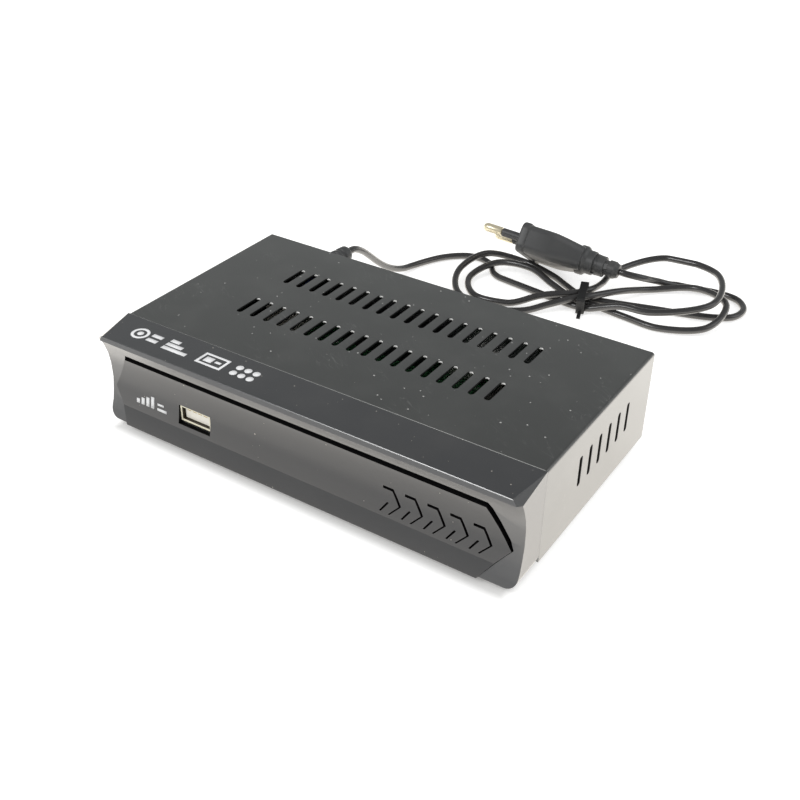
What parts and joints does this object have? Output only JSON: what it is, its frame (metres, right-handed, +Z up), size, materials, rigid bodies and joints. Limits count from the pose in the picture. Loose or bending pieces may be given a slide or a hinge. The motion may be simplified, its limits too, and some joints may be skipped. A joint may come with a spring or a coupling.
{
  "type": "terrestrial tv receiver",
  "caption": "Flat black set-top receiver with a slotted metal cover, a concave moulded front with a USB socket, rear sockets and a fixed mains lead tied in a hank.",
  "frame": {"origin": "on the floor under the middle of the case, lead left out", "axes": "+X to the right seen from the front, +Y to the rear, +Z up"},
  "size_m": [0.167, 0.2308, 0.0386],
  "materials": {
    "cover_paint": "satin black paint with fine dust and scratches",
    "chassis_steel": "plain zinc-coated sheet",
    "bezel_plastic": "black moulded plastic, half gloss",
    "fascia_plastic": "black plastic, smoother than the bezel",
    "nickel": "nickel plating",
    "ivory_plastic": "ivory moulded plastic",
    "board_green": "green solder mask",
    "chip_black": "black moulding compound",
    "heat_sink_metal": "extruded, matt",
    "capacitor_sleeve": "dark shrink sleeve",
    "fuse_glass": "glass tube with nickel caps",
    "coil_brown": "ferrite and taped windings",
    "lamp_clear": "clear lens",
    "cord_black": "black flexible sheath, slightly glossy",
    "tie_black": "black coated wire",
    "plug_black": "black moulded rubber, satin",
    "pin_brass": "plain polished pin ends",
    "wire_brown": "brown insulation",
    "wire_blue": "blue insulation",
    "screw_steel": "zinc-coated steel",
    "foot_rubber": "black rubber",
    "collar_yellow": "yellow ring",
    "collar_white": "white ring",
    "collar_red": "red ring"
  },
  "bodies": {
    "root": {"av_jack_housing": "chip_black", "bottom_chassis": "chassis_steel", "bridge_rectifier": "chip_black", "bulk_capacitor": "capacitor_sleeve", "cord_bushing": "cord_black", "cord_hank": "cord_black", "cord_lead": "cord_black", "cord_tail": "cord_black", "cord_tie": "tie_black", "cover_screw_left": "screw_steel", "cover_screw_right": "screw_steel", "crystal_oscillator": "nickel", "emi_choke": "coil_brown", "fascia_plate": "fascia_plastic", "flash_chip": "chip_black", "foot_front_left": "foot_rubber", "foot_front_right": "foot_rubber", "foot_rear_left": "foot_rubber", "foot_rear_right": "foot_rubber", "front_bezel": "bezel_plastic", "hdmi_shell": "nickel", "hdmi_tongue": "chip_black", "heat_sink": "heat_sink_metal", "ir_receiver": "chip_black", "main_pcb": "board_green", "mains_connector": "ivory_plastic", "mains_fuse": "fuse_glass", "mains_wire_live": "wire_brown", "mains_wire_neutral": "wire_blue", "output_capacitor_1": "capacitor_sleeve", "output_capacitor_2": "capacitor_sleeve", "pcb_screw_1": "screw_steel", "pcb_screw_2": "screw_steel", "pcb_screw_3": "screw_steel", "pcb_screw_4": "screw_steel", "plug_body": "plug_black", "plug_pin_1": "pin_brass", "plug_pin_2": "pin_brass", "power_transformer": "coil_brown", "pwm_controller_chip": "chip_black", "ram_chip": "chip_black", "rca_barrel_left": "nickel", "rca_barrel_right": "nickel", "rca_barrel_video": "nickel", "rca_collar_left": "collar_white", "rca_collar_right": "collar_red", "rca_collar_video": "collar_yellow", "rf_in_connector": "nickel", "rf_out_connector": "nickel", "soc_chip": "chip_black", "standoff_1": "nickel", "standoff_2": "nickel", "standoff_3": "nickel", "standoff_4": "nickel", "status_led": "lamp_clear", "top_cover": "cover_paint", "tuner_can": "nickel", "usb_shell": "nickel", "usb_tongue": "ivory_plastic"}
  },
  "joints": []
}
